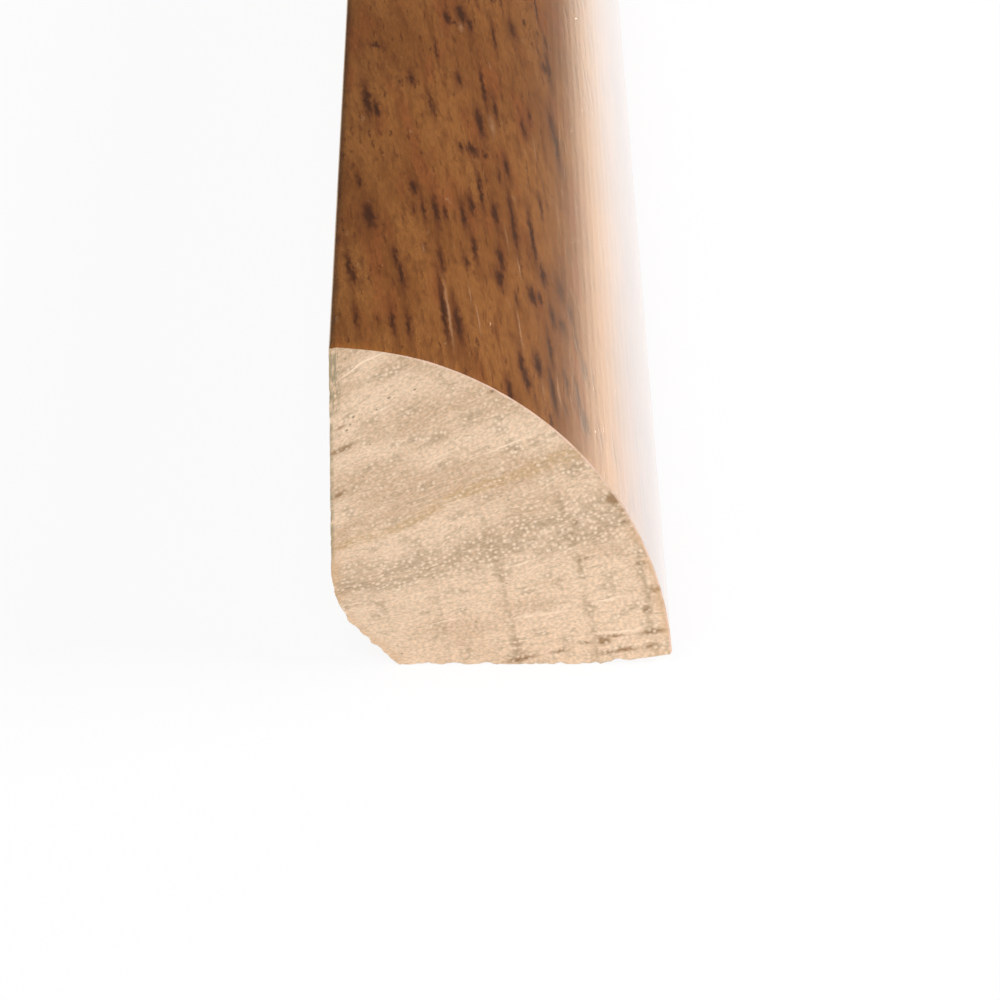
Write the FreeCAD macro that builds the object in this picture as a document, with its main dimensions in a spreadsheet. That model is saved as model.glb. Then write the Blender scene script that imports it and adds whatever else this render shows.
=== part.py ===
import FreeCAD, Part
import os
import Sketcher

# A length of quarter round moulding, the trim that covers the joint between a floor and a wall or skirting.
# It is one stick of solid wood, run through a moulder and sawn square at both ends.
#
# The stick lies along Y on its floor face. Its back, which goes against the wall, faces -X, and its rounded
# show face looks up and towards +X. The origin is under the middle of the stick, on the floor.
#
# The section has two flat legs at a right angle and one arc between them:
#   back face    the upright leg, against the wall
#   back relief  the cut-off inner corner, which clears rubbish and glue in the wall joint
#   floor face   the level leg, which the stick lies on
#   toe          the last stretch of the level leg, eased up from the floor towards the tip
#   show face    the arc from the tip over to the top of the back face

SIZES = [
    ("leg_width", 19.05, "floor leg, from the back face to the tip (3/4 in)"),
    ("leg_height", 19.05, "wall leg, from the floor face to the top edge (3/4 in)"),
    ("stick_length", 1981.2, "length that the stock is sold in (78 in)"),
    ("face_crown", 5.1, "how far the arc stands out from the straight line between its two ends"),
    ("relief_width", 3.8, "back relief, measured along the floor leg"),
    ("relief_height", 3.6, "back relief, measured up the wall leg"),
    ("relief_round", 5.0, "radius where the back relief runs into the back face"),
    ("toe_width", 4.0, "stretch of the floor leg that is eased up, measured in from the tip"),
    ("toe_rise", 0.6, "how far the tip stands above the floor"),
    ("top_arris", 0.4, "radius of the sanded edge between the back face and the show face"),
    ("tip_arris", 0.2, "radius of the sanded edge at the tip"),
]

SHEET = "Sizes"
SAME_PLACE = 0.001


def make_sheet(doc):
    """The driving sizes, one row each: what it is, its value in millimetres and its alias."""
    sheet = doc.addObject("Spreadsheet::Sheet", SHEET)
    for row, (alias, value, meaning) in enumerate(SIZES, start=1):
        sheet.set(f"A{row}", meaning)
        sheet.set(f"B{row}", str(value))
        sheet.setAlias(f"B{row}", alias)
    doc.recompute()
    return sheet


def origin_plane(body, role):
    """The body's own origin plane of that role, such as XZ_Plane."""
    return next(f for f in body.Origin.OriginFeatures if f.Role == role)


def drive(sketch, kind, *places, name, formula):
    """Adds a named dimension, at its true value so that nothing jumps, and binds it to the sheet."""
    value = float(sketch.evalExpression(formula))
    index = sketch.addConstraint(Sketcher.Constraint(kind, *places, value))
    sketch.renameConstraint(index, name)
    sketch.setExpression(f"Constraints.{name}", formula)


def corners(sheet):
    """The section's sharp corners in the sketch's plane, with X across the stick and Y up."""
    half = sheet.leg_width / 2
    return {
        "relief_foot": FreeCAD.Vector(sheet.relief_width - half, 0, 0),
        "toe_start": FreeCAD.Vector(half - sheet.toe_width, 0, 0),
        "tip": FreeCAD.Vector(half, sheet.toe_rise, 0),
        "top_edge": FreeCAD.Vector(-half, sheet.leg_height, 0),
        "relief_top": FreeCAD.Vector(-half, sheet.relief_height, 0),
    }


def crown_point(start, end, crown):
    """The middle of the show face: out from the middle of the chord, away from the stick's inner corner."""
    chord = end - start
    outward = FreeCAD.Vector(chord.y, -chord.x, 0).normalize()
    return (start + end) / 2 + outward * crown


def draw_section(body, sheet):
    """The section as a closed, fully constrained sketch on the body's upright plane across the stick."""
    sketch = body.newObject("Sketcher::SketchObject", "Section")
    sketch.AttachmentSupport = (origin_plane(body, "XZ_Plane"), [""])
    sketch.MapMode = "FlatFace"
    at = corners(sheet)
    crown = crown_point(at["tip"], at["top_edge"], sheet.face_crown)

    floor_face = sketch.addGeometry(Part.LineSegment(at["relief_foot"], at["toe_start"]))
    toe = sketch.addGeometry(Part.LineSegment(at["toe_start"], at["tip"]))
    show_face = sketch.addGeometry(Part.Arc(at["tip"], crown, at["top_edge"]))
    back_face = sketch.addGeometry(Part.LineSegment(at["top_edge"], at["relief_top"]))
    back_relief = sketch.addGeometry(Part.LineSegment(at["relief_top"], at["relief_foot"]))

    start, end = 1, 2
    for first, first_end, second, second_end in (
        (floor_face, end, toe, start),
        (toe, end, show_face, start),
        (show_face, end, back_face, start),
        (back_face, end, back_relief, start),
        (back_relief, end, floor_face, start),
    ):
        sketch.addConstraint(Sketcher.Constraint("Coincident", first, first_end, second, second_end))
    sketch.addConstraint(Sketcher.Constraint("Vertical", back_face))
    floor_line, origin_point = -1, (-1, 1)
    sketch.addConstraint(Sketcher.Constraint("PointOnObject", floor_face, start, floor_line))
    sketch.addConstraint(Sketcher.Constraint("PointOnObject", floor_face, end, floor_line))

    drive(sketch, "DistanceX", back_face, start, *origin_point,
          name="half_width", formula=f"{SHEET}.leg_width / 2")
    drive(sketch, "DistanceX", back_face, start, toe, end,
          name="width", formula=f"{SHEET}.leg_width")
    drive(sketch, "DistanceY", *origin_point, back_face, start,
          name="height", formula=f"{SHEET}.leg_height")
    drive(sketch, "DistanceX", back_relief, start, back_relief, end,
          name="relief_width", formula=f"{SHEET}.relief_width")
    drive(sketch, "DistanceY", *origin_point, back_relief, start,
          name="relief_height", formula=f"{SHEET}.relief_height")
    drive(sketch, "DistanceX", toe, start, toe, end,
          name="toe_width", formula=f"{SHEET}.toe_width")
    drive(sketch, "DistanceY", *origin_point, toe, end,
          name="toe_rise", formula=f"{SHEET}.toe_rise")
    half_chord_squared = f"({SHEET}.leg_width ^ 2 + ({SHEET}.leg_height - {SHEET}.toe_rise) ^ 2) / 4"
    drive(sketch, "Radius", show_face,
          name="face_radius",
          formula=f"({half_chord_squared} + {SHEET}.face_crown ^ 2) / (2 * {SHEET}.face_crown)")
    return sketch


def long_edge_at(shape, corner):
    """The name of the edge that runs along the stick through that corner of the section."""
    def at_corner(point):
        return abs(point.x - corner.x) < SAME_PLACE and abs(point.z - corner.y) < SAME_PLACE

    found = [
        i for i, edge in enumerate(shape.Edges, start=1)
        if all(at_corner(vertex.Point) for vertex in edge.Vertexes)
    ]
    if len(found) != 1:
        raise RuntimeError(f"{len(found)} edges run along the stick at {corner}")
    return f"Edge{found[0]}"


def round_edge(body, before, name, corner, size):
    """Rounds one long edge to the radius that the sheet gives for it."""
    rounded = body.newObject("PartDesign::Fillet", name)
    rounded.Base = (before, [long_edge_at(before.Shape, corner)])
    rounded.setExpression("Radius", f"{SHEET}.{size}")
    body.Document.recompute()
    return rounded


def make_stick(doc, sheet):
    """The moulded stick: its section, run out both ways from the middle, with three long edges rounded."""
    body = doc.addObject("PartDesign::Body", "Stick")
    body.Label = "quarter_round"
    body.Placement = FreeCAD.Placement()
    section = draw_section(body, sheet)

    run = body.newObject("PartDesign::Pad", "Run")
    run.Profile = section
    run.SideType = "Symmetric"
    run.setExpression("Length", f"{SHEET}.stick_length")
    section.Visibility = False
    doc.recompute()

    at = corners(sheet)
    feature = run
    for name, corner, size in (
        ("ReliefRound", "relief_top", "relief_round"),
        ("TopArris", "top_edge", "top_arris"),
        ("TipArris", "tip", "tip_arris"),
    ):
        feature = round_edge(body, feature, name, at[corner], size)
    body.Tip = feature
    return body


def check(doc, pieces):
    """Stops the script if an object failed, a sketch is loose or a piece is not one sound solid."""
    for thing in doc.Objects:
        if "Invalid" in thing.State or "Error" in thing.State:
            raise RuntimeError(f"{thing.Name} is {thing.State}")
        if thing.isDerivedFrom("Sketcher::SketchObject") and not thing.FullyConstrained:
            raise RuntimeError(f"{thing.Name} is not fully constrained")
    for piece in pieces:
        shape = piece.Shape
        if shape.isNull() or not shape.isValid() or len(shape.Solids) != 1:
            raise RuntimeError(f"{piece.Label} is not one sound solid")


def main():
    doc = FreeCAD.newDocument("QuarterRound")
    sheet = make_sheet(doc)
    pieces = [make_stick(doc, sheet)]
    doc.recompute()
    check(doc, pieces)
    os.makedirs("parts", exist_ok=True)
    for piece in pieces:
        piece.Shape.exportStep(f"parts/{piece.Label}.step")
        box = piece.Shape.BoundBox
        print(f"{piece.Label}: {box.XLength:.3f} x {box.YLength:.3f} x {box.ZLength:.3f} mm,"
              f" x from {box.XMin:.3f}, z from {box.ZMin:.3f}, {piece.Shape.Volume:.0f} mm3")


main()
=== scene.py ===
import math
from itertools import pairwise

import bmesh
import bpy
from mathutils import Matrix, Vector, noise
from mathutils.kdtree import KDTree


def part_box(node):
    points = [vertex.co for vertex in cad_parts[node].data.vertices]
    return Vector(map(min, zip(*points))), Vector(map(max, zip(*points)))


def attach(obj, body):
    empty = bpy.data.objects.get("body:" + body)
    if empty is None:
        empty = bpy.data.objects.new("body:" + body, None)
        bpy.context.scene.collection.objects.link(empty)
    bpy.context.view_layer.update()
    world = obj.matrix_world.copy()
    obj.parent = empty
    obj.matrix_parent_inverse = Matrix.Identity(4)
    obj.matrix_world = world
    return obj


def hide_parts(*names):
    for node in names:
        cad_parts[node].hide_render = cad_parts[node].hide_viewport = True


# A stick of quarter round moulding, seen past its sawn near end. The stick lies along Y on its floor face,
# its back at -X and its stained, varnished round face up and towards +X.

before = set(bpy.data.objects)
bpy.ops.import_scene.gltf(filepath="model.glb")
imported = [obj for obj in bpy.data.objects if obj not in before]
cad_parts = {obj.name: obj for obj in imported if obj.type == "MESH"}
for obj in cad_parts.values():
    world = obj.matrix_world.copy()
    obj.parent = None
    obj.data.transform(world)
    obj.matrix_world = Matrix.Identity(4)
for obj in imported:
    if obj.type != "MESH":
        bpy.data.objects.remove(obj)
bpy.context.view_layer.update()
lowest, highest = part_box("quarter_round")

MM = 0.001
NEAR_END, FAR_END = lowest.y, highest.y

# The section, with the sizes that the solid has

LEG = 19.05 * MM
BACK = lowest.x
FACE_CROWN = 5.1 * MM
RELIEF_WIDTH = 3.8 * MM
RELIEF_HEIGHT = 3.6 * MM
RELIEF_ROUND = 5.0 * MM
TOE_WIDTH = 4.0 * MM
TOE_RISE = 0.6 * MM
TOP_ARRIS = 0.4 * MM
TIP_ARRIS = 0.2 * MM

TIP = Vector((BACK + LEG, NEAR_END, TOE_RISE))
TOP_EDGE = Vector((BACK, NEAR_END, LEG))
RELIEF_TOP = Vector((BACK, NEAR_END, RELIEF_HEIGHT))
RELIEF_FOOT = Vector((BACK + RELIEF_WIDTH, NEAR_END, 0))
TOE_START = Vector((BACK + LEG - TOE_WIDTH, NEAR_END, 0))

half_chord = (TOP_EDGE - TIP).length / 2
FACE_RADIUS = (half_chord ** 2 + FACE_CROWN ** 2) / (2 * FACE_CROWN)
inward = (TOP_EDGE - TIP).cross(Vector((0, 1, 0))).normalized()
FACE_CENTRE = (TIP + TOP_EDGE) / 2 + inward * (FACE_RADIUS - FACE_CROWN)
ARC_ANGLE = 2 * math.asin(half_chord / FACE_RADIUS)


# The camera, which looks down on the near end

CAMERA_AIM = Vector((-0.113 * MM, NEAR_END, 9.888 * MM))
CAMERA_RISE = math.radians(21.506)
CAMERA_TURN = math.radians(0.395)
CAMERA_DISTANCE = 353.3 * MM
NEAREST_SEEN = 10 * MM
FRAME_PIXELS = 1000
FOCAL_PIXELS = 6374


def stand_camera():
    """Stands the camera where the photograph was taken from, above the near end, with a long lens."""
    data = bpy.data.cameras.new("long_lens")
    data.lens = data.sensor_width * FOCAL_PIXELS / FRAME_PIXELS
    data.clip_start = NEAREST_SEEN
    camera = bpy.data.objects.new("camera", data)
    camera.rotation_euler = (math.pi / 2 - CAMERA_RISE, 0, -CAMERA_TURN)
    ahead = camera.rotation_euler.to_matrix() @ Vector((0, 0, -1))
    camera.location = CAMERA_AIM - ahead * CAMERA_DISTANCE
    bpy.context.scene.collection.objects.link(camera)
    bpy.context.scene.camera = camera


# Patterns, written as arithmetic on numbers that vary over a surface

def add(tree, kind, inputs=None, **settings):
    """Adds a node. An input that is a term or a socket is linked, and any other value is set."""
    made = tree.nodes.new(kind)
    for name, value in settings.items():
        setattr(made, name, value)
    for key, value in (inputs or {}).items():
        value = getattr(value, "socket", value)
        if isinstance(value, bpy.types.NodeSocket):
            tree.links.new(value, made.inputs[key])
        else:
            made.inputs[key].default_value = value
    return made


class Term:
    """A number that varies over a surface."""

    def __init__(self, tree, socket):
        self.tree, self.socket = tree, socket

    def step(self, operation, *others):
        """The result of one operation on this number and the others."""
        values = dict(enumerate((self, *others)))
        made = add(self.tree, "ShaderNodeMath", values, operation=operation)
        return Term(self.tree, made.outputs[0])

    def __add__(self, other):
        return self.step("ADD", other)

    def __sub__(self, other):
        return self.step("SUBTRACT", other)

    def __mul__(self, other):
        return self.step("MULTIPLY", other)

    def __truediv__(self, other):
        return self.step("DIVIDE", other)

    def fade(self, low, high, start=0.0, end=1.0):
        """Runs smoothly from start, where the number is low, to end, where it is high, and no further."""
        values = {"Value": self, "From Min": low, "From Max": high, "To Min": start, "To Max": end}
        if low > high:
            values = {"Value": self, "From Min": high, "From Max": low, "To Min": end, "To Max": start}
        made = add(self.tree, "ShaderNodeMapRange", values, interpolation_type="SMOOTHSTEP")
        return Term(self.tree, made.outputs["Result"])

    def most(self, other):
        return self.step("MAXIMUM", other)

    def least(self, other):
        return self.step("MINIMUM", other)

    def size(self):
        return self.step("ABSOLUTE")


def flat(across, along, third=0.0):
    """A place on a pattern, from its distances across and along it."""
    return add(across.tree, "ShaderNodeCombineXYZ", {0: across, 1: along, 2: third}).outputs[0]


def cloud(across, along, third=0.0, detail=2.0):
    """Soft blotches from 0 to 1, about one to each unit of the pattern."""
    made = add(across.tree, "ShaderNodeTexNoise", {
        "Vector": flat(across, along, third), "Scale": 1.0, "Detail": detail,
    })
    return Term(across.tree, made.outputs["Fac"])


def distance(across, along):
    """How far a place is from the middle of a pattern."""
    made = add(across.tree, "ShaderNodeVectorMath", {0: flat(across, along)}, operation="LENGTH")
    return Term(across.tree, made.outputs["Value"])


def scatter(across, along, apart, run):
    """Scattered points, one to a cell: how far off the nearest one is each way, and its random numbers."""
    cell_across, cell_along = across / apart, along / run
    made = add(across.tree, "ShaderNodeTexVoronoi", {
        "Vector": flat(cell_across, cell_along), "Scale": 1.0,
    }, voronoi_dimensions="2D")
    point = add(across.tree, "ShaderNodeSeparateXYZ", {0: made.outputs["Position"]}).outputs
    lots = add(across.tree, "ShaderNodeSeparateColor", {0: made.outputs["Color"]}).outputs
    off_across = (cell_across - point[0]) * apart
    off_along = (cell_along - point[1]) * run
    return off_across, off_along, [Term(across.tree, s) for s in lots[:3]]


def scattered_marks(across, along, apart, run, half_width, half_length, share):
    """Scattered long marks with soft edges: how strongly they show, for that share of the cells."""
    off_across, off_along, (chance, size, side) = scatter(across, along, apart, run)
    width = side.fade(0, 1, half_width * 0.5, half_width)
    reach = size.fade(0, 1, half_length * 0.4, half_length)
    strength = distance(off_across / width, off_along / reach).fade(1.5, 0.0)
    return strength * chance.fade(1 - share, 1.3 - share)


def nearest_mark(across, along, marks):
    """How far off the nearest of some marks is, where 1 is at the edge of a mark of full strength."""
    tree, place, nearest = across.tree, flat(across, along), None
    for middle_across, middle_along, half_width, half_length, strength in marks:
        local = add(tree, "ShaderNodeVectorMath", {
            0: place,
            1: (1 / half_width, 1 / half_length, 0),
            2: (-middle_across / half_width, -middle_along / half_length, 0),
        }, operation="MULTIPLY_ADD")
        length = add(tree, "ShaderNodeVectorMath", {0: local.outputs[0]}, operation="LENGTH")
        off = Term(tree, length.outputs["Value"]) + (1 - strength)
        nearest = nearest.least(off) if nearest else off
    return nearest


def tint(amount, under, over):
    """Lays one colour over another by the amount."""
    made = amount.tree.nodes.new("ShaderNodeMix")
    made.data_type = "RGBA"
    sockets = [s for s in made.inputs if s.enabled]
    for socket, value in zip(sockets, (amount.socket, under, over)):
        if isinstance(value, bpy.types.NodeSocket):
            amount.tree.links.new(value, socket)
        else:
            socket.default_value = (*value, 1)
    return next(s for s in made.outputs if s.enabled)


def shade_by(amount, colour, dark, light):
    """Multiplies a colour by a factor that runs from dark to light as the amount goes from 0 to 1."""
    factor = amount.fade(0, 1, dark, light)
    made = add(amount.tree, "ShaderNodeVectorMath", {0: colour, 1: flat(factor, factor, factor)},
               operation="MULTIPLY")
    return made.outputs[0]


def new_material(name):
    """An empty material: itself, its shader, and the place on the stick in millimetres, from the near end."""
    material = bpy.data.materials.new(name)
    material.use_nodes = True
    tree = material.node_tree
    place = add(tree, "ShaderNodeTexCoord").outputs["Object"]
    measured = add(tree, "ShaderNodeMapping", {
        "Vector": place, "Location": (0, -NEAR_END / MM, 0), "Scale": (1 / MM, 1 / MM, 1 / MM),
    })
    parts = add(tree, "ShaderNodeSeparateXYZ", {0: measured.outputs[0]})
    return material, tree.nodes["Principled BSDF"], [Term(tree, s) for s in parts.outputs]


def relief(height, depth):
    """The normal of a surface with that relief, where a height of 1 stands out by the depth, in mm."""
    made = add(height.tree, "ShaderNodeBump", {"Height": height, "Distance": depth * MM, "Strength": 1.0})
    return made.outputs[0]


def dress(shader, links, **finish):
    """Gives a shader its linked inputs, such as its colour, and plain values for its finish."""
    for name, socket in links.items():
        shader.id_data.links.new(socket, shader.inputs[name])
    for name, value in finish.items():
        shader.inputs[name.replace("_", " ")].default_value = value


# The sawn end: rays that fan out from the pith, growth rings across them, and rows of pale vessels.
# In the finishes, places and depths are in mm, and patterns and their strengths run from 0 to 1.

PITH_X, PITH_Z = -45.0, -6.0
RAY_REACH = 50.0


def along_ray(x, z):
    """Where a place on the section lies, in mm: how far across the rays, and how far from the pith."""
    out_x, out_z = x - PITH_X, z - PITH_Z
    return math.atan2(out_z, out_x) * RAY_REACH, math.hypot(out_x, out_z)


def on_rays(marks):
    """Marks that are given by x and z on the section, as marks across and along the rays."""
    return [(*along_ray(x, z), half_width, half_length, strength)
            for x, z, half_width, half_length, strength in marks]


# Each mark: x and z of its middle, half its width across the rays and half its length along them, and how
# strongly it shows

PALE_LINES = (
    (-7.6, 17.9, 0.08, 2.0, 1.0),
    (-6.6, 15.2, 0.06, 2.0, 0.6),
    (0.2, 13.1, 0.06, 2.9, 0.8),
    (-2.5, 9.8, 0.06, 1.3, 0.7),
    (-3.5, 12.5, 0.06, 2.0, 0.6),
    (1.1, 6.2, 0.06, 1.9, 0.7),
    (2.0, 3.0, 0.08, 1.9, 1.0),
    (6.1, 3.9, 0.07, 1.5, 0.9),
    (6.7, 2.0, 0.07, 1.5, 0.9),
    (-3.2, 2.6, 0.06, 1.9, 0.7),
)
BROWN_MARKS = (
    (6.2, 10.0, 0.30, 0.5, 1.0),
    (6.7, 9.4, 0.15, 0.3, 0.7),
    (-9.0, 12.9, 0.25, 1.3, 0.8),
    (-9.1, 10.3, 0.22, 0.8, 0.6),
    (-8.9, 14.3, 0.16, 0.6, 0.5),
    (5.6, 1.4, 0.24, 0.5, 0.9),
    (5.9, 0.8, 0.15, 0.7, 0.8),
    (6.2, 1.7, 0.14, 1.2, 0.6),
    (4.6, 1.2, 0.12, 0.6, 0.6),
    (3.3, 0.7, 0.14, 0.7, 0.7),
    (1.0, 0.3, 0.18, 0.9, 1.0),
    (6.9, 0.9, 0.20, 0.8, 0.7),
    (8.2, 1.1, 0.18, 0.7, 0.7),
    (8.5, 2.0, 0.18, 0.9, 0.8),
    (8.6, 4.6, 0.24, 0.6, 0.8),
    (8.1, 3.3, 0.40, 0.30, 0.6),
    (7.7, 6.1, 0.18, 0.5, 0.6),
    (4.6, 6.4, 0.13, 0.6, 0.6),
    (3.9, 8.5, 0.35, 0.25, 0.5),
    (6.9, 8.6, 0.14, 0.5, 0.5),
    (-0.6, 16.4, 0.12, 0.35, 0.8),
)
DARK_PORES = (
    (-8.6, 14.1, 0.09, 0.11, 0.9),
    (-8.4, 14.4, 0.08, 0.10, 0.7),
    (-8.2, 14.8, 0.09, 0.11, 0.9),
    (-7.7, 14.9, 0.07, 0.10, 0.6),
    (-6.9, 15.2, 0.08, 0.10, 0.7),
    (-6.2, 15.9, 0.08, 0.12, 0.9),
    (-5.9, 15.9, 0.06, 0.09, 0.6),
    (-4.8, 16.4, 0.08, 0.10, 0.8),
    (-7.3, 13.2, 0.08, 0.10, 0.6),
)
GREY_PATCHES = (
    (-6.0, 17.6, 0.35, 0.8, 0.7),
    (-3.6, 13.6, 0.45, 0.8, 0.7),
    (-1.6, 14.9, 0.40, 1.1, 0.7),
    (-7.4, 11.7, 0.40, 0.7, 0.6),
    (-5.2, 5.9, 0.70, 2.0, 0.8),
    (-7.5, 4.6, 0.60, 0.8, 0.7),
    (-0.3, 7.0, 0.70, 1.4, 0.9),
    (3.2, 13.6, 0.15, 0.4, 0.6),
    (4.2, 8.2, 0.60, 1.2, 0.6),
    (0.8, 1.3, 0.50, 0.5, 0.8),
)

# Each ring's edge: how far it is from the pith, and how strongly it shows

RING_EDGES = ((42.6, 0.5), (46.4, 0.8), (50.8, 1.0), (54.1, 0.8))

# A place, x and z, on the grey band and on the olive one, and on the rays where the rings are faint and clear

GREY_BAND = (-3.0, 6.3)
OLIVE_BAND = (-3.0, 9.3)
RINGS_FAINT, RINGS_CLEAR = (0.0, 11.0), (0.0, 8.0)

# How far in from the near end the placed marks show whole, and where they are gone

MARKS_WHOLE, MARKS_GONE = 20.0, 40.0

# How far the pattern drifts for each millimetre along the stick, and how deep its relief is

END_DRIFT = 0.02
SAWN_RELIEF = 0.015

PALE_WOOD = (0.775, 0.570, 0.400)
TAN_WOOD = (0.62, 0.43, 0.28)
GREY_WOOD = (0.46, 0.330, 0.215)
RING_BROWN = (0.47, 0.325, 0.20)
OLIVE_WOOD = (0.56, 0.37, 0.20)
CREAM = (0.93, 0.74, 0.56)
BARK_BROWN = (0.30, 0.175, 0.085)
PORE_BROWN = (0.22, 0.15, 0.09)
STAIN_BLEED = (0.66, 0.40, 0.21)
LACQUER_LINE = (0.86, 0.62, 0.50)
CORNER_FIBRE = (0.30, 0.25, 0.15)


def sawn_end():
    """End grain as the saw left it, with stain that bled in at its edges and torn fibres in the corner."""
    material, shader, (x, y, z) = new_material("sawn_end_grain")
    here = y.fade(MARKS_GONE, MARKS_WHOLE)
    there = y * END_DRIFT
    out_x, out_z = x - PITH_X, z - PITH_Z
    depth = distance(out_x, out_z) + there
    turn = out_z.step("ARCTAN2", out_x) * RAY_REACH
    across = turn + (cloud(depth * 0.35, turn * 0.5, there, detail=1.0) - 0.5) * 0.6
    fine = across + (cloud(depth * 1.8, turn * 3.0, there, detail=1.0) - 0.5) * 0.16

    zones = cloud(across * 0.45, depth * 0.15, there)
    patches = cloud(across * 1.3, depth * 0.7, there + 4.0, detail=3.0)
    dark_lines = cloud(fine * 4.0, depth * 0.7, there + 1.0).fade(0.5, 0.72)
    pale_lines = cloud(fine * 5.0, depth * 0.9, there + 2.0).fade(0.5, 0.72)
    grit = cloud(across * 9.0, depth * 4.5, there + 7.0, detail=3.0)

    # Painted light: the end grain is paler towards the bottom, where light bounces up from the floor.
    painted_floor_bounce = z.fade(12.0, 2.0, -0.04, 0.12)
    colour = tint((zones + painted_floor_bounce).fade(0.36, 0.62), TAN_WOOD, PALE_WOOD)
    grey_band = (across - along_ray(*GREY_BAND)[0]).size().fade(1.9, 0.4)
    patch_across = across + (patches - 0.5) * 0.8
    chosen = nearest_mark(patch_across, depth, on_rays(GREY_PATCHES)).fade(1.5, 0.2) * here
    grey = (grey_band * patches.fade(0.25, 0.6) * 0.75).most(patches.fade(0.52, 0.72) * 0.7)
    grey = grey.most(chosen * 0.8)
    colour = tint(grey, colour, GREY_WOOD)
    olive = across - along_ray(*OLIVE_BAND)[0] - depth.fade(42.0, 46.0, 0.0, 0.7)
    olive = olive.size().fade(0.55, 0.1) * patches.fade(0.25, 0.5, 0.3, 1.0)
    colour = tint(olive * 0.75, colour, OLIVE_WOOD)
    below = turn.fade(along_ray(*RINGS_FAINT)[0], along_ray(*RINGS_CLEAR)[0], 0.25, 1.0)
    for ring, strength in RING_EDGES:
        sway = (cloud(turn * 0.6, ring, detail=3.0) - 0.5) * 0.4
        inside = depth - ring + sway
        edge = inside.fade(-0.6, 0.0) * inside.fade(0.2, 0.0) * patches.fade(0.36, 0.58, 0.3, 1.0)
        colour = tint(edge * below * (0.85 * strength), colour, RING_BROWN)
    colour = tint(dark_lines * 0.4, colour, GREY_WOOD)
    colour = tint(pale_lines * 0.35, colour, CREAM)
    colour = shade_by(grit.fade(0.25, 0.75), colour, 0.88, 1.13)

    off_across, off_along, (size, _, _) = scatter(fine, depth, 0.31, 0.35)
    vessel = distance(off_across, off_along * 0.9).fade(0.15, 0.0) * size.fade(0.0, 0.5, 0.2, 1.0)
    crowd = grey + depth.fade(46.0, 50.0, 0.0, 0.15)
    colour = tint(vessel * crowd.fade(0.0, 0.5, 0.35, 0.80), colour, CREAM)

    off_across, off_along, (rare, _, _) = scatter(across, depth, 0.7, 0.9)
    pore = distance(off_across, off_along).fade(0.10, 0.02) * rare.fade(0.94, 0.98) * 0.7
    pore = pore.most(nearest_mark(fine, depth, on_rays(DARK_PORES)).fade(1.4, 0.4) * here)
    colour = tint(pore * 0.8, colour, PORE_BROWN)

    lines = nearest_mark(fine, depth, on_rays(PALE_LINES)).fade(1.3, 0.1) * here
    colour = tint(lines * patches.fade(0.25, 0.45, 0.5, 1.0), colour, CREAM)
    ragged_across = across + (grit - 0.5) * 0.3
    ragged_along = depth + (patches - 0.5) * 1.0
    brown = nearest_mark(ragged_across, ragged_along, on_rays(BROWN_MARKS)).fade(1.5, 0.4) * here
    colour = tint(brown * grit.fade(0.3, 0.6, 0.6, 0.95), colour, BARK_BROWN)
    bright = vessel * brown
    colour = tint(bright * 0.7, colour, CREAM)

    from_back = x - BACK / MM
    low = z.fade(10.0, 4.0)
    bleed = (from_back + (patches - 0.5) * 1.2).fade(0.8, 0.0) * low
    slope = math.atan2(RELIEF_WIDTH, RELIEF_HEIGHT)
    from_relief = (x - RELIEF_TOP.x / MM) * math.cos(slope) + (z - RELIEF_TOP.z / MM) * math.sin(slope)
    bleed = bleed.most((from_relief + (patches - 0.5) * 1.2).fade(0.5, 0.0) * 0.5)
    from_face = distance(x - FACE_CENTRE.x / MM, z - FACE_CENTRE.z / MM) * -1.0 + FACE_RADIUS / MM
    tip_bleed = (from_face + (patches - 0.5) * 1.6).fade(0.6, 0.0) * z.fade(11.0, 7.0) * 0.8
    colour = tint(bleed.most(tip_bleed) * 0.55, colour, STAIN_BLEED)
    broken = grit.fade(0.2, 0.6, 0.5, 0.95) * patches.fade(0.38, 0.55, 0.35, 1.0)
    colour = tint(from_face.fade(0.15, 0.06) * broken, colour, LACQUER_LINE)

    corner = from_back.fade(0.8, 0.3) * z.fade(14.0, 16.5)
    back_line = from_back.fade(0.28, 0.08) * z.fade(5.0, 8.0) * patches.fade(0.3, 0.6)
    fibres = cloud(x * 8.0, z * 1.3, there).fade(0.42, 0.58)
    colour = tint((corner * fibres).most(back_line) * 0.8, colour, CORNER_FIBRE)

    height = grit * 0.6 + pale_lines * 0.4 - dark_lines * 0.4 + vessel * 0.4 - pore
    dress(shader, {"Base Color": colour, "Normal": relief(height, SAWN_RELIEF)},
          Roughness=0.85, Specular_IOR_Level=0.25)
    return material


# The round face: brown stain under satin varnish, with dark vessel lines along the grain

GRAIN_LEAN = 0.06
VARNISH_RELIEF = 0.008

# Where scattered marks take over from the placed ones: along from the near end, and round from the top

SCATTER_FROM, SCATTER_TO = 62.0, 80.0
SCATTER_ROUND_FROM, SCATTER_ROUND_TO = 19.5, 22.0

# How far round from the top the varnish starts to mirror the floor. Beyond it, marks dent the varnish less
# and fibres stand out more.

MIRROR_FROM = 19.0

# Each mark: its place across the grain from the top of the face and along it from the near end, half its
# width and half its length, and how strongly it shows

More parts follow.
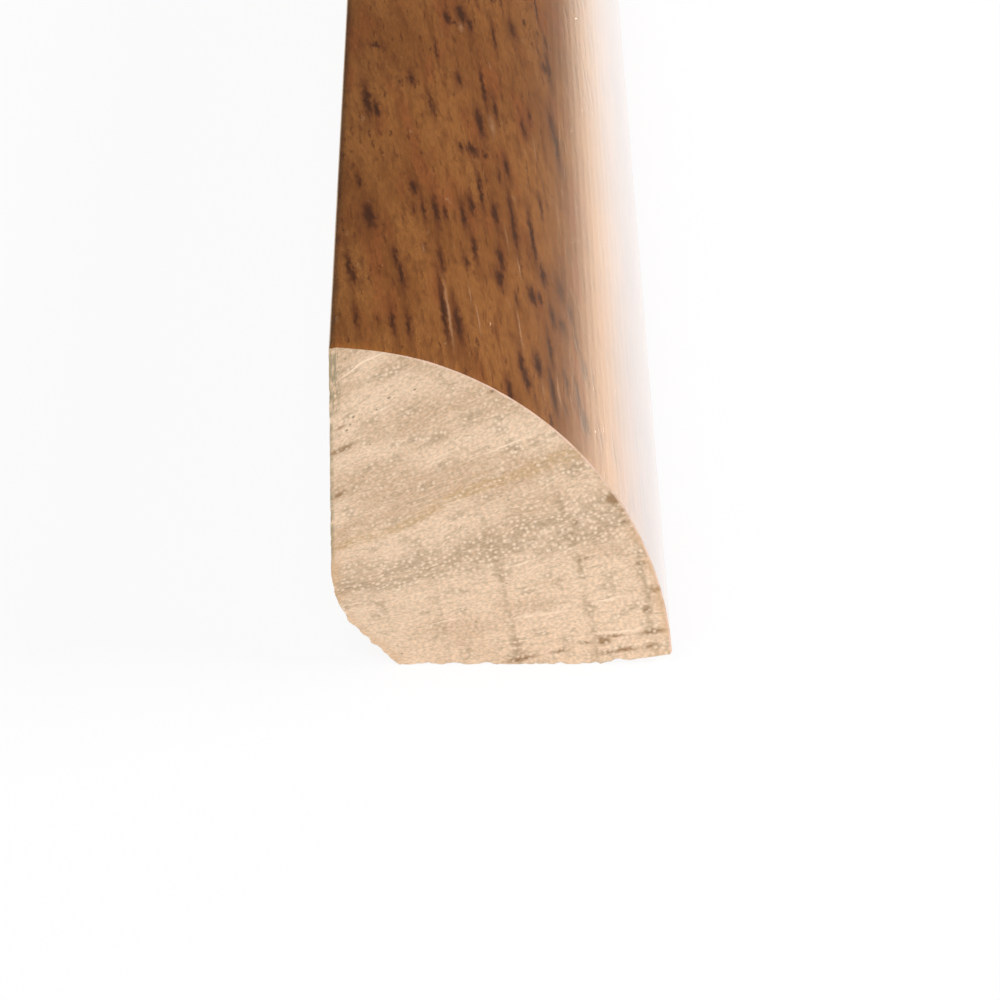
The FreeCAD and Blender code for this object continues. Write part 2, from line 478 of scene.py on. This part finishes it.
DARK_MARKS = (
    (6.0, 55.5, 0.50, 0.6, 0.6),
    (4.9, 44.0, 0.24, 3.2, 0.9),
    (5.4, 42.5, 0.22, 1.8, 0.8),
    (8.0, 50.0, 0.22, 1.4, 0.8),
    (9.0, 46.0, 0.16, 3.0, 0.5),
    (10.0, 57.0, 0.14, 3.2, 0.5),
    (11.2, 65.0, 0.24, 1.6, 0.8),
    (12.3, 67.0, 0.32, 1.6, 1.0),
    (12.8, 65.5, 0.18, 1.4, 0.8),
    (11.3, 53.0, 0.24, 1.4, 0.7),
    (13.0, 53.5, 0.13, 4.0, 0.8),
    (13.7, 50.5, 0.16, 2.4, 0.8),
    (12.3, 46.0, 0.22, 2.6, 1.0),
    (11.4, 40.0, 0.36, 0.9, 1.0),
    (10.6, 39.5, 0.18, 0.9, 0.7),
    (12.3, 40.0, 0.22, 0.7, 0.6),
    (14.6, 65.5, 0.14, 3.6, 0.6),
    (16.3, 69.5, 0.40, 1.8, 0.6),
    (18.8, 66.5, 0.40, 1.3, 0.6),
    (15.8, 50.0, 0.22, 1.8, 0.7),
    (18.7, 53.0, 0.22, 4.8, 0.8),
    (3.7, 28.5, 0.16, 1.1, 0.7),
    (4.0, 22.5, 0.36, 2.2, 0.9),
    (7.0, 29.0, 0.22, 1.3, 0.9),
    (7.4, 25.5, 0.16, 2.6, 0.6),
    (8.2, 26.0, 0.20, 2.6, 0.9),
    (8.8, 26.0, 0.16, 1.7, 0.6),
    (10.0, 27.0, 0.17, 2.4, 0.9),
    (10.7, 29.5, 0.22, 1.8, 0.8),
    (11.5, 33.0, 0.14, 3.8, 0.8),
    (12.3, 30.0, 0.20, 2.0, 0.9),
    (13.8, 40.0, 0.22, 2.4, 0.7),
    (13.6, 30.5, 0.16, 5.2, 0.9),
    (15.0, 30.0, 0.16, 4.2, 0.9),
    (10.4, 22.0, 0.19, 2.2, 0.8),
    (9.7, 19.0, 0.20, 1.1, 0.7),
    (12.2, 22.5, 0.22, 1.6, 1.0),
    (11.9, 19.0, 0.24, 1.3, 1.0),
    (2.4, 13.0, 0.18, 3.0, 0.7),
    (5.2, 16.0, 0.22, 2.2, 0.6),
    (5.4, 13.0, 0.20, 1.9, 0.9),
    (8.0, 17.5, 0.17, 2.6, 0.7),
    (7.7, 9.5, 0.16, 5.5, 0.9),
    (8.5, 8.0, 0.26, 3.4, 0.8),
    (15.4, 24.5, 0.22, 1.6, 0.9),
    (14.2, 19.5, 0.28, 1.2, 1.0),
    (14.8, 20.0, 0.20, 0.9, 0.8),
    (15.7, 18.5, 0.22, 1.6, 0.8),
    (16.4, 18.5, 0.42, 1.5, 0.6),
    (16.7, 24.0, 0.28, 2.0, 0.6),
    (4.5, 5.0, 0.18, 2.4, 0.7),
    (5.4, 5.0, 0.16, 2.5, 0.7),
    (11.3, 1.2, 0.20, 1.6, 0.9),
    (12.5, 6.5, 0.18, 2.0, 0.9),
    (12.7, 4.5, 0.20, 1.7, 0.9),
    (13.8, 8.5, 0.26, 1.6, 1.0),
    (15.0, 12.5, 0.16, 2.8, 0.9),
    (14.7, 6.0, 0.19, 3.0, 1.0),
    (16.0, 9.5, 0.18, 1.9, 0.8),
    (17.9, 14.5, 0.24, 2.0, 0.6),
    (17.2, 6.0, 0.28, 2.0, 0.6),
    (20.1, 7.5, 0.10, 3.0, 0.8),
    (20.5, 6.0, 0.08, 2.0, 0.7),
    (18.7, 6.0, 0.11, 2.4, 0.7),
    (17.2, 5.8, 0.30, 1.6, 1.0),
    (16.9, 9.0, 0.16, 2.6, 0.8),
    (18.1, 14.5, 0.14, 1.8, 0.8),
    (18.8, 14.5, 0.12, 2.6, 0.7),
    (17.6, 18.0, 0.18, 1.6, 0.7),
    (16.9, 25.0, 0.30, 1.6, 0.7),
    (17.4, 22.0, 0.26, 1.4, 0.7),
    (18.5, 55.5, 0.26, 3.0, 0.6),
    (19.2, 67.0, 0.30, 4.0, 0.6),
    (11.6, 64.5, 0.50, 0.5, 0.5),
    (7.2, 48.8, 0.17, 0.6, 0.6),
    (9.2, 44.8, 0.15, 1.6, 0.55),
    (16.5, 53.4, 0.15, 1.5, 0.6),
    (6.8, 25.0, 0.15, 1.0, 0.6),
    (13.1, 37.7, 0.15, 1.5, 0.6),
    (16.2, 37.4, 0.13, 1.6, 0.7),
    (12.9, 17.0, 0.14, 1.0, 0.7),
    (2.4, 4.5, 0.12, 2.0, 0.6),
    (2.6, 11.8, 0.17, 1.3, 0.8),
    (15.6, 4.7, 0.15, 1.0, 0.7),
    (14.2, 1.0, 0.15, 0.8, 0.8),
)
PALE_MARKS = (
    (8.0, 9.0, 0.11, 6.0, 0.9),
    (9.9, 10.0, 0.09, 3.5, 0.7),
    (12.9, 27.0, 0.08, 4.5, 0.6),
    (13.5, 23.0, 0.09, 2.6, 0.8),
    (12.8, 12.0, 0.10, 4.0, 0.8),
    (15.2, 6.5, 0.10, 2.4, 1.0),
    (13.9, 5.0, 0.08, 2.6, 0.6),
    (16.5, 47.5, 0.12, 3.2, 0.6),
    (17.7, 38.0, 0.14, 6.0, 0.5),
    (12.1, 64.0, 0.26, 1.4, 0.6),
    (13.2, 46.5, 0.40, 3.2, 0.5),
    (17.9, 11.7, 0.12, 2.6, 0.7),
    (18.9, 15.5, 0.10, 2.0, 0.6),
    (19.2, 5.5, 0.12, 3.0, 0.6),
    (9.6, 13.5, 0.08, 3.0, 0.6),
    (18.3, 32.0, 0.12, 4.0, 0.6),
    (18.5, 24.0, 0.10, 3.0, 0.6),
    (7.0, 18.5, 0.10, 1.5, 0.5),
    (20.2, 10.5, 0.08, 2.2, 0.7),
)

STAIN = (0.254, 0.091, 0.021)
STAIN_LIGHT = (0.326, 0.126, 0.032)
STAIN_RED = (0.297, 0.090, 0.024)
STAIN_DEEP = (0.172, 0.054, 0.012)
FLECK = (0.050, 0.017, 0.006)
FLECK_RED = (0.125, 0.036, 0.011)
PALE_STREAK_AND_GLINT = (0.50, 0.29, 0.16)


def stained_face():
    """Brown stained wood, with dark and pale lines and dark specks along its grain and painted glints, under
    satin varnish.
    """
    material, shader, (x, y, z) = new_material("stained_varnished_wood")
    girth = (x - FACE_CENTRE.x / MM).step("ARCTAN2", z - FACE_CENTRE.z / MM) * (FACE_RADIUS / MM)
    leaning = girth + y * GRAIN_LEAN
    across = leaning + (cloud(girth * 0.2, y * 0.06, detail=1.0) - 0.5) * 0.4

    zones = cloud(across * 0.35, y * 0.06, 3.0)
    redness = cloud(across * 0.6, y * 0.08, 8.0)
    grain = cloud(across * 1.4, y * 0.12, 1.0)
    clouded = cloud(across * 1.0, y * 0.35, 4.0)
    fibre = cloud(across * 7.0, y * 0.9, 2.0)
    colour = tint(zones.fade(0.36, 0.6), STAIN, STAIN_LIGHT)
    colour = tint(redness.fade(0.5, 0.68) * 0.7, colour, STAIN_RED)
    colour = tint(grain.fade(0.52, 0.72) * 0.6, colour, STAIN_DEEP)
    colour = tint(clouded.fade(0.5, 0.72) * 0.4, colour, STAIN_DEEP)
    colour = shade_by(fibre.fade(0.25, 0.75), colour, 0.89, 1.11)

    wobble = cloud(across * 2.2, y * 1.1, 5.0) - 0.5
    sway = cloud(across * 4.5, y * 0.8, 9.0, detail=1.0) - 0.5
    marks_across = leaning + wobble * 0.45 + (fibre - 0.5) * 0.35
    marks_along = y + sway * 2.6
    crowd = cloud(across * 0.4, y * 0.12, 6.0, detail=1.0).fade(0.38, 0.58)
    farther = y.fade(SCATTER_FROM, SCATTER_TO).most(girth.fade(SCATTER_ROUND_FROM, SCATTER_ROUND_TO))
    long_marks = scattered_marks(marks_across, marks_along, 1.5, 9.0, 0.24, 4.0, share=0.7) * farther
    short_marks = scattered_marks(marks_across + 3.3, marks_along + 1.7, 0.95, 4.4, 0.22, 2.2, share=0.6)
    faint_marks = scattered_marks(marks_across + 7.1, marks_along + 4.9, 0.8, 3.2, 0.20, 1.9, share=0.7)
    fine_marks = scattered_marks(marks_across + 5.3, marks_along + 8.1, 0.6, 2.6, 0.09, 1.3, share=0.6)
    short_marks = short_marks * crowd * farther.fade(0.0, 1.0, 0.4, 1.0)
    nearest = nearest_mark(marks_across, marks_along, DARK_MARKS)
    flecks = long_marks.most(short_marks).most(nearest.fade(1.8, 0.2)).most(fine_marks * 0.6)
    colour = tint(faint_marks.most(nearest.fade(2.8, 1.0)) * 0.45, colour, FLECK_RED)
    colour = tint(flecks.fade(0.0, 0.6) * 0.7, colour, FLECK_RED)
    colour = tint(flecks.fade(0.35, 1.0) * 0.8, colour, FLECK)

    streaks = scattered_marks(across + 0.6, y + 2.0, 1.7, 11.0, 0.08, 4.0, share=0.4) * farther
    streaks = streaks.most(nearest_mark(leaning + wobble * 0.15, y + sway, PALE_MARKS).fade(1.4, 0.1))
    # Painted glints: small pale dots stand in for the light that the varnish catches at pores, on the upper
    # part of the face only. The pale streaks are the wood's own.
    painted_glints = scattered_marks(marks_across + 1.9, marks_along + 0.7, 1.6, 6.0, 0.12, 0.4, share=0.4)
    painted_glints = painted_glints * girth.fade(15.0, 13.0, 0.0, 0.6)
    colour = tint(streaks.most(painted_glints) * 0.65, colour, PALE_STREAK_AND_GLINT)

    sunk = (flecks + faint_marks * 0.3) * girth.fade(MIRROR_FROM, 22.0, 1.0, 0.25)
    raised = fibre * girth.fade(MIRROR_FROM, 23.0, 0.15, 0.4)
    varnished = relief(raised + grain * 0.3 + clouded * 0.3 - sunk, VARNISH_RELIEF)
    dress(shader, {"Base Color": colour, "Coat Normal": varnished},
          Roughness=0.20, IOR=1.5, Specular_IOR_Level=0.5, Coat_Weight=1.0, Coat_IOR=1.5, Coat_Roughness=0.14)
    return material


# The back, the relief, the floor face and the toe

MILLED_RELIEF = 0.03


def milled_wood():
    """Raw wood as the moulder left it, with its fibre along the stick."""
    material, shader, (x, y, z) = new_material("raw_milled_wood")
    grain = cloud(x * 1.2, y * 0.06, z * 1.2, detail=3.0)
    fibre = cloud(x * 7.0, y * 0.3, z * 7.0)
    colour = tint(grain.fade(0.35, 0.65), TAN_WOOD, PALE_WOOD)
    colour = shade_by(fibre.fade(0.25, 0.75), colour, 0.85, 1.1)
    dress(shader, {"Base Color": colour, "Normal": relief(fibre, MILLED_RELIEF)},
          Roughness=0.8, Specular_IOR_Level=0.25)
    return material


# The stick's mesh: the steps that its curves are drawn in, how far in from each end its rings lie in mm, and
# the cells that its ends are cut into

ARC_STEPS = 48
RELIEF_STEPS = 10
TOP_STEPS = 4
TIP_STEPS = 3
RINGS = (0.15, 0.4, 1.2, 4, 12, 40)
END_CELL = 0.2 * MM
SAME_PLACE = END_CELL / 100
SHARP_ANGLE = math.radians(30)
FACE_MATERIAL, END_MATERIAL, MILLED_MATERIAL = range(3)

# An end's faces look along the stick by more than this, and the round face lies farther out than this share
# of its radius

LOOKS_ALONG = 0.9
ROUND_SHARE = 0.99


def section_face(bm):
    """The stick's section as one flat face at the near end."""
    tip = bm.verts.new(TIP)
    spun = bmesh.ops.spin(bm, geom=[tip], cent=FACE_CENTRE, axis=(0, -1, 0), angle=ARC_ANGLE, steps=ARC_STEPS)
    top = next(g for g in spun["geom_last"] if isinstance(g, bmesh.types.BMVert))
    flats = [top, *(bm.verts.new(p) for p in (RELIEF_TOP, RELIEF_FOOT, TOE_START)), tip]
    for a, b in pairwise(flats):
        bm.edges.new((a, b))
    bmesh.ops.contextual_create(bm, geom=bm.edges[:])
    turn = math.pi / 2 - math.atan2(RELIEF_HEIGHT, RELIEF_WIDTH)
    for corner, reach, segments in (
        (flats[1], RELIEF_ROUND * math.tan(turn / 2), RELIEF_STEPS),
        (top, TOP_ARRIS, TOP_STEPS),
        (tip, TIP_ARRIS, TIP_STEPS),
    ):
        bmesh.ops.bevel(bm, geom=[corner], offset=reach, segments=segments, profile=0.5,
                        affect="VERTICES", material=-1)


def cut_into_cells(bm):
    """Cuts the section into small square cells, so that the sawn surface and its edge can be rough."""
    corner = Vector((BACK, NEAR_END, 0))
    count = round(LEG / END_CELL)
    for side in (Vector((1, 0, 0)), Vector((0, 0, 1))):
        for step in range(1, count):
            bmesh.ops.bisect_plane(bm, geom=[*bm.verts, *bm.edges, *bm.faces], dist=SAME_PLACE,
                                   plane_co=corner + side * (LEG * step / count), plane_no=side)


def run_out(bm):
    """Runs the section out to the far end, ring by ring, and takes away the walls this leaves inside."""
    steps = [r * MM for r in RINGS]
    length = FAR_END - NEAR_END
    places = [0, *steps, *(length - s for s in reversed(steps)), length]
    near_end = sheet = bm.faces[:]
    for before, after in pairwise(places):
        made = bmesh.ops.extrude_face_region(bm, geom=sheet)
        if sheet is not near_end:
            bmesh.ops.delete(bm, geom=sheet, context="FACES")
        sheet = [g for g in made["geom"] if isinstance(g, bmesh.types.BMFace)]
        verts = [g for g in made["geom"] if isinstance(g, bmesh.types.BMVert)]
        bmesh.ops.translate(bm, verts=verts, vec=(0, after - before, 0))


def face_material(face):
    """Which of the stick's three finishes a face has."""
    if abs(face.normal.y) > LOOKS_ALONG:
        return END_MATERIAL
    middle = face.calc_center_median()
    out = Vector((middle.x - FACE_CENTRE.x, 0, middle.z - FACE_CENTRE.z))
    return FACE_MATERIAL if out.length > FACE_RADIUS * ROUND_SHARE else MILLED_MATERIAL


# How the saw left the edges, in mm: the stretch over which the varnish wears away towards the back, how far
# in and how deep, how the raw edges tore, and how high the fibres stand out on the relief

WORN_FROM, WORN_TO = -4.0, -8.0
WORN_REACH = 0.4
WORN_DEPTH = 0.12
TEAR_REACH = 1.0
TEAR_DEPTH = 0.03
TEAR_SPREAD = 0.16
NUB_HEIGHT = 0.05
NUB_SPREAD = 0.17
EASE_REACH = 0.8
SAW_ROUGHNESS = 0.04

# How often tears, nubs and the saw's roughness change in a millimetre, and how much each size of nub counts

WIDE_TEARS, FINE_TEARS = 0.9, 2.3
WIDE_NUBS, FINE_NUBS = 1.6, 3.1
WIDE_SHARE, FINE_SHARE = 0.6, 0.8
SAW_GRAIN = 1.9
ELSEWHERE = Vector((9, 9, 9))

# An edge is on the relief where it faces down and back, neither over this many times the other, and a vertex
# is on the rim where its normal leans out from the stick by this much

SLANT = 4
RIM_LEAN = 0.3


def lost_at(place, out, from_end, finished):
    """How much of the edge is gone at a place, in mm, or less than nothing where fibres stand out."""
    if finished:
        worn = min(1, max(0, (place.x - WORN_FROM) / (WORN_TO - WORN_FROM)))
        return WORN_DEPTH * worn * max(0, 1 - from_end / WORN_REACH) ** 2
    fading = 1 - from_end / TEAR_REACH
    on_relief = abs(out.x) > abs(out.z) / SLANT and abs(out.z) > abs(out.x) / SLANT
    if on_relief:
        uneven = noise.noise(place * WIDE_NUBS) * WIDE_SHARE + noise.noise(place * FINE_NUBS) * FINE_SHARE
        return -max(0, NUB_HEIGHT + NUB_SPREAD * uneven) * fading
    uneven = noise.noise(place * WIDE_TEARS) + noise.noise(place * FINE_TEARS + ELSEWHERE)
    return max(0, TEAR_DEPTH + TEAR_SPREAD * uneven) * fading


def roughen_ends(bm):
    """Leaves both ends as the saw did: a little rough, worn along the varnish and torn at the raw edges."""
    bm.normal_update()
    rim, inner = [], []
    for vert in bm.verts:
        from_end = min(vert.co.y - NEAR_END, FAR_END - vert.co.y) / MM
        if from_end > TEAR_REACH:
            continue
        out = Vector((vert.normal.x, 0, vert.normal.z))
        if out.length < RIM_LEAN:
            inner.append(vert)
            continue
        finished = all(f.material_index != MILLED_MATERIAL for f in vert.link_faces)
        out.normalize()
        rim.append((vert, out * (-lost_at(vert.co / MM, out, from_end, finished) * MM)))
    nearest_rim = KDTree(len(rim))
    for number, (vert, _) in enumerate(rim):
        nearest_rim.insert(vert.co, number)
    nearest_rim.balance()
    for vert in inner:
        _, number, gap = nearest_rim.find(vert.co)
        rough = (noise.noise(vert.co / MM * SAW_GRAIN) + 1) / 2 * SAW_ROUGHNESS * MM
        vert.co += rim[number][1] * max(0, 1 - gap / (EASE_REACH * MM))
        vert.co.y += rough if vert.co.y < 0 else -rough
    for vert, move in rim:
        vert.co += move
        vert.co.x = max(vert.co.x, BACK)
        vert.co.z = max(vert.co.z, 0)


def make_stick(materials):
    """The whole stick as one closed piece, with the three finishes on its faces."""
    bm = bmesh.new()
    section_face(bm)
    cut_into_cells(bm)
    run_out(bm)
    bmesh.ops.recalc_face_normals(bm, faces=bm.faces[:])
    for face in bm.faces:
        face.smooth = True
        face.material_index = face_material(face)
    for edge in bm.edges:
        edge.smooth = edge.calc_face_angle(0) < SHARP_ANGLE
    roughen_ends(bm)
    mesh = bpy.data.meshes.new("stick")
    bm.to_mesh(mesh)
    bm.free()
    for material in materials:
        mesh.materials.append(material)
    stick = bpy.data.objects.new("stick", mesh)
    bpy.context.scene.collection.objects.link(stick)
    return stick


# Floor, world and lamps. Between these distances beside the stick, the mirrored floor turns warm and dim, a
# painted reflection.

FLOOR_SIZE = 60
FLOOR_WHITE = 0.95
FLOOR_GLOW = 0.90
FLOOR_GLOSS = 0.1
WARM_START, WARM_REACH = 14 * MM, 32 * MM
BRIGHT_REACH, DIM_REACH = 14 * MM, 70 * MM
WHITE = (1.0, 1.0, 1.0)
WARM_WHITE = (1.0, 0.79, 0.60)
ROOM_GREY = (0.03, 0.03, 0.03)


def lay_floor():
    """Lays a white floor. The varnish mirrors it white only near the stick, in a painted pool of light with a
    warm edge, and farther off mirrors a dim glossy floor.
    """
    bm = bmesh.new()
    bmesh.ops.create_grid(bm, x_segments=1, y_segments=1, size=FLOOR_SIZE)
    mesh = bpy.data.meshes.new("floor")
    bm.to_mesh(mesh)
    bm.free()
    material = bpy.data.materials.new("white_floor")
    material.use_nodes = True
    tree = material.node_tree
    tree.nodes.clear()
    rays = add(tree, "ShaderNodeLightPath").outputs
    camera_ray, glossy_ray, clear_ray = (
        Term(tree, rays[name]) for name in ("Is Camera Ray", "Is Glossy Ray", "Is Transmission Ray"))
    place = add(tree, "ShaderNodeTexCoord").outputs["Object"]
    from_stick = Term(tree, add(tree, "ShaderNodeSeparateXYZ", {0: place}).outputs["X"]).size()
    lit = add(tree, "ShaderNodeBsdfDiffuse", {"Color": (FLOOR_WHITE, FLOOR_WHITE, FLOOR_WHITE, 1)})
    # Painted reflection: to glossy rays the floor glows white near the stick and turns warm a little farther
    # out. Beyond that it fades into a dim glossy floor, so this is a painted pool of light that only
    # reflections see.
    painted_warmth = from_stick.fade(WARM_START, WARM_REACH) * glossy_ray
    glow = add(tree, "ShaderNodeEmission", {"Color": tint(painted_warmth, WHITE, WARM_WHITE), "Strength": 1.0})
    share = (camera_ray.most(clear_ray) * FLOOR_GLOW).most(glossy_ray)
    matt = add(tree, "ShaderNodeMixShader", {0: share, 1: lit.outputs[0], 2: glow.outputs[0]})
    dim = add(tree, "ShaderNodeBsdfGlossy", {"Color": (*WHITE, 1), "Roughness": FLOOR_GLOSS})
    satin = add(tree, "ShaderNodeMixShader", {
        0: from_stick.fade(BRIGHT_REACH, DIM_REACH) * glossy_ray,
        1: matt.outputs[0],
        2: dim.outputs[0],
    })
    add(tree, "ShaderNodeOutputMaterial", {"Surface": satin.outputs[0]})
    mesh.materials.append(material)
    floor = bpy.data.objects.new("floor", mesh)
    bpy.context.scene.collection.objects.link(floor)


def hang_lamps():
    """Hangs two wide lamps and a low, warm one behind the stick, in a dim room."""
    for name, rise, turn, strength, spread, colour in (
        ("window", 25, 100, 3.4, 50, WHITE),
        ("front", 45, -20, 2.3, 50, WHITE),
        ("rim", 4, 145, 2.2, 8, WARM_WHITE),
    ):
        data = bpy.data.lights.new(name, "SUN")
        data.energy = strength
        data.color = colour
        data.angle = math.radians(spread)
        lamp = bpy.data.objects.new(name, data)
        lamp.rotation_euler = (math.radians(90 - rise), 0, math.radians(turn))
        bpy.context.scene.collection.objects.link(lamp)
    world = bpy.data.worlds.new("dim_room")
    world.use_nodes = True
    world.node_tree.nodes["Background"].inputs["Color"].default_value = (*ROOM_GREY, 1)
    bpy.context.scene.world = world


stand_camera()
lay_floor()
hang_lamps()
stick = make_stick([stained_face(), sawn_end(), milled_wood()])
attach(stick, "root")
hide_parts("quarter_round")

bpy.context.scene.view_settings.view_transform = "Standard"
